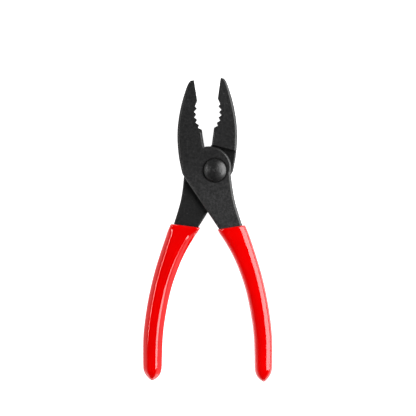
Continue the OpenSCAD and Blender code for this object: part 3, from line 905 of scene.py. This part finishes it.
axis_place = Matrix.Translation(Vector((-PIVOT_OFFSET, 0, MID_Z)) * MM)
front_place = Matrix.Rotation(math.radians(FRONT_TURN), 4, "Z") @ axis_place
back_place = Matrix.Rotation(math.radians(-BACK_TURN), 4, "Z") @ axis_place
back_place = back_place @ Matrix.Rotation(math.pi, 4, "Y")


def own_frame(place, points):
    """Flat points of the shared frame in a half's own frame, all in millimetres."""
    back = place.inverted()
    moved = [back @ Vector((x * MM, y * MM, 0)) for x, y in points]
    return [(p.x / MM, p.y / MM) for p in moved]


# The slot's outline: two round holes and the neck between them
heading, alpha = math.atan2(SLOT_FAR.y, SLOT_FAR.x), math.asin(SLOT_NECK / SLOT_R)
slot = arc((0, 0), SLOT_R, heading + alpha, heading + 2 * math.pi - alpha, HOLE_ANGLE)
slot += arc(SLOT_FAR, SLOT_R, heading - math.pi + alpha, heading + math.pi - alpha, HOLE_ANGLE)
# The keyed hole's outline: round, with two flats
alpha = math.asin(KEY_FLAT / KEY_R)
keyed = []
for start in (KEY_HEADING - alpha, KEY_HEADING + math.pi - alpha):
    keyed += arc((0, 0), KEY_R, start, start + 2 * alpha, HOLE_ANGLE)

front_steel = steel_skin(FRONT, own_frame(front_place, keyed))
back_steel = steel_skin(BACK, own_frame(back_place, slot), own_frame(back_place, RELIEF_LINE))
build(
    "front_jaw_and_handle", front_steel, front_place, "front", "front_half", oxide
)
build(
    "back_jaw_and_handle", back_steel, back_place, "back", "back_half", oxide_back
)
front_vinyl = grip_skin(FRONT, seed=0.0)
back_vinyl = grip_skin(BACK, seed=7.0, collar=9.0, flank=4.1)
build("front_sleeve", front_vinyl, front_place, "front", "front_grip", red, 60)
build("back_sleeve", back_vinyl, back_place, "back", "back_grip", red, 60)

# Profiles of the turned pieces, as (radius, z, wear). The bolt: its centre dimple, its dome, the
# rounded edge of its head, its shank, its thread and its end
CROWN_Z = TOP_Z + HEAD_H
DIMPLE = ((0, 0.65), (0.25, 0.6), (0.36, 0.16), (0.5, 0.06), (0.8, 0.04))
HEAD_EDGE = (
    (0.33, 1.22), (0.17, 0.96), (0.06, 0.72), (0.01, 0.5), (0.06, 0.3), (0.22, 0.12), (0.5, 0.03),
    (0.9, 0.0),
)
THREAD_R, THREAD_DEPTH, THREAD_TOP, THREAD_STEP = 2.96, 0.14, 3.6, 0.25
# The dome's fall from the crown: at once, and by the radius to the power of 2 and of 6
DOME_DROP, DOME, DOME_SIDE = 0.02, 0.025, 4.4e-6
# Half across the nut's flats, and the height up to which the bolt's shank is flat
NUT_FLAT, FLATS_TOP = 5.5, 14.2
bolt = [(r, CROWN_Z - down, 0) for r, down in DIMPLE]
bolt += [
    (r, CROWN_Z - DOME_DROP - DOME * r * r - DOME_SIDE * r**6, 0) for r in steps(1.1, 7.0, 0.15)
]
bolt += [(HEAD_R - dr, TOP_Z + z, 0) for dr, z in HEAD_EDGE]
bolt += [(r, z, 0) for r, z in ((SHANK_R, TOP_Z), (SHANK_R, 14.0), (SHANK_R, 4.2), (4.0, 4.0))]
bolt += [(3.0, 4.0, 0), (THREAD_R, 3.9, 0)]
bolt += [(THREAD_R - THREAD_DEPTH * (k % 2), THREAD_TOP - k * THREAD_STEP, 0) for k in range(13)]
bolt += [(2.5, 0.12, 0.6), (2.35, 0.03, 0.8), (1.2, 0.03, 0.2), (0.0, 0.03, 0)]
nut = [
    (3.05, 3.18, 0), (5.2, 3.2, 0.2), (5.6, 3.12, 0.8), (6.4, 2.75, 0.8), (6.4, 1.6, 0.1),
    (6.4, 0.6, 0.8), (5.75, 0.1, 0.9), (5.35, 0.0, 0.3), (3.6, 0.0, 0.2), (3.3, 0.12, 0.7),
    (3.05, 0.4, 0),
]
washer = [
    (3.1, 3.96, 0), (7.35, 3.96, 0.2), (7.52, 3.92, 0.8), (7.6, 3.84, 0.9), (7.6, 3.34, 0.9),
    (7.52, 3.24, 0.8), (7.35, 3.2, 0.2), (3.1, 3.2, 0),
]
still = Matrix.Identity(4)
bolt_skin = turned_skin(bolt, 120, flats=(KEY_HEADING, SHANK_FLAT, FLATS_TOP))
nut_skin = turned_skin(nut, hexagon=NUT_FLAT, closed=True)
washer_skin = turned_skin(washer, closed=True)
build("domed_bolt", bolt_skin, still, "front", "pivot_bolt", turned, 40)
build("hexagon_nut", nut_skin, still, "front", "pivot_nut", turned, 25)
build("thin_washer", washer_skin, still, "slider", "pivot_washer", plain, 40)

# The camera looks straight down on the tool, framed as in the photograph
camera = bpy.data.cameras.new("camera")
camera.sensor_width = 36
camera.lens = 157.3
eye = bpy.data.objects.new("camera", camera)
bpy.context.collection.objects.link(eye)
eye.location = (-0.00462, -0.0249, 1.212)
bpy.context.scene.camera = eye


def lamp(name, where, size, power):
    """A rectangular lamp that shines on the tool's middle."""
    aim = (0, -0.03, 0.01)
    light = bpy.data.lights.new(name, "AREA")
    light.shape = "RECTANGLE"
    light.size, light.size_y = size
    light.energy = power
    ob = bpy.data.objects.new(name, light)
    bpy.context.collection.objects.link(ob)
    ob.location = where
    ob.rotation_euler = (Vector(aim) - Vector(where)).to_track_quat("-Z", "Y").to_euler()


lamp("right_box", (0.7, 0.12, 0.62), (1.1, 0.8), 12.8)
lamp("left_strip", (-0.66, 0.09, 0.66), (0.55, 0.05), 1.3)

# The world: white for the camera, soft and brighter on the left for diffuse light, and for glossy
# light white at the horizon on both sides and dark overhead
world = bpy.data.worlds.new("studio")
bpy.context.scene.world = world
graph = Graph(world)
towards = graph.node("SeparateXYZ", {0: graph.node("TexCoord").outputs["Generated"]}).outputs
card = graph.map_range(towards["X"], -0.9, 0.3, 0.85, 0.24)
soft = graph.node("Background", {"Color": WHITE, "Strength": card})
ceiling = graph.map_range(towards["Z"], 0.0, 0.55, 1.0, 0.0)
walls = graph.map_range(graph.calc("ABSOLUTE", towards["X"]), 0.3, 0.75, 0.1, 0.85)
room = graph.calc("MULTIPLY", ceiling, walls)
mirrored = graph.node("Background", {"Color": WHITE, "Strength": room})
shown = graph.nodes["Background"]
graph.put(shown.inputs["Color"], WHITE)
graph.put(shown.inputs["Strength"], 1.0)
path = graph.node("LightPath").outputs
either = graph.calc("MAXIMUM", path["Is Camera Ray"], path["Is Transmission Ray"])
inputs = {"Fac": path["Is Glossy Ray"], 1: soft.outputs[0], 2: mirrored.outputs[0]}
gloss = graph.node("MixShader", inputs)
blend = graph.node("MixShader", {"Fac": either, 1: gloss.outputs[0], 2: shown.outputs[0]})
graph.put(graph.nodes["World Output"].inputs["Surface"], blend.outputs[0])

# The floor: pale, keeps the tool's shadow, and shows nearly white to the camera and in reflections
floor_mesh = bpy.data.meshes.new("floor")
floor_mesh.from_pydata([(-2, -2, 0), (2, -2, 0), (2, 2, 0), (-2, 2, 0)], [], [(0, 1, 2, 3)])
floor = bpy.data.objects.new("floor", floor_mesh)
bpy.context.collection.objects.link(floor)
floor_material, graph, surface = new_material("floor")
path = graph.node("LightPath").outputs
either = graph.calc("MAXIMUM", path["Is Camera Ray"], path["Is Glossy Ray"])
for key, value in (
    ("Base Color", (0.88, 0.88, 0.88, 1)), ("Roughness", 0.9), ("Specular IOR Level", 0),
    ("Emission Color", WHITE), ("Emission Strength", graph.calc("MULTIPLY", either, 0.92)),
):
    graph.put(surface[key], value)
floor_mesh.materials.append(floor_material)

bpy.context.scene.view_settings.view_transform = "Standard"
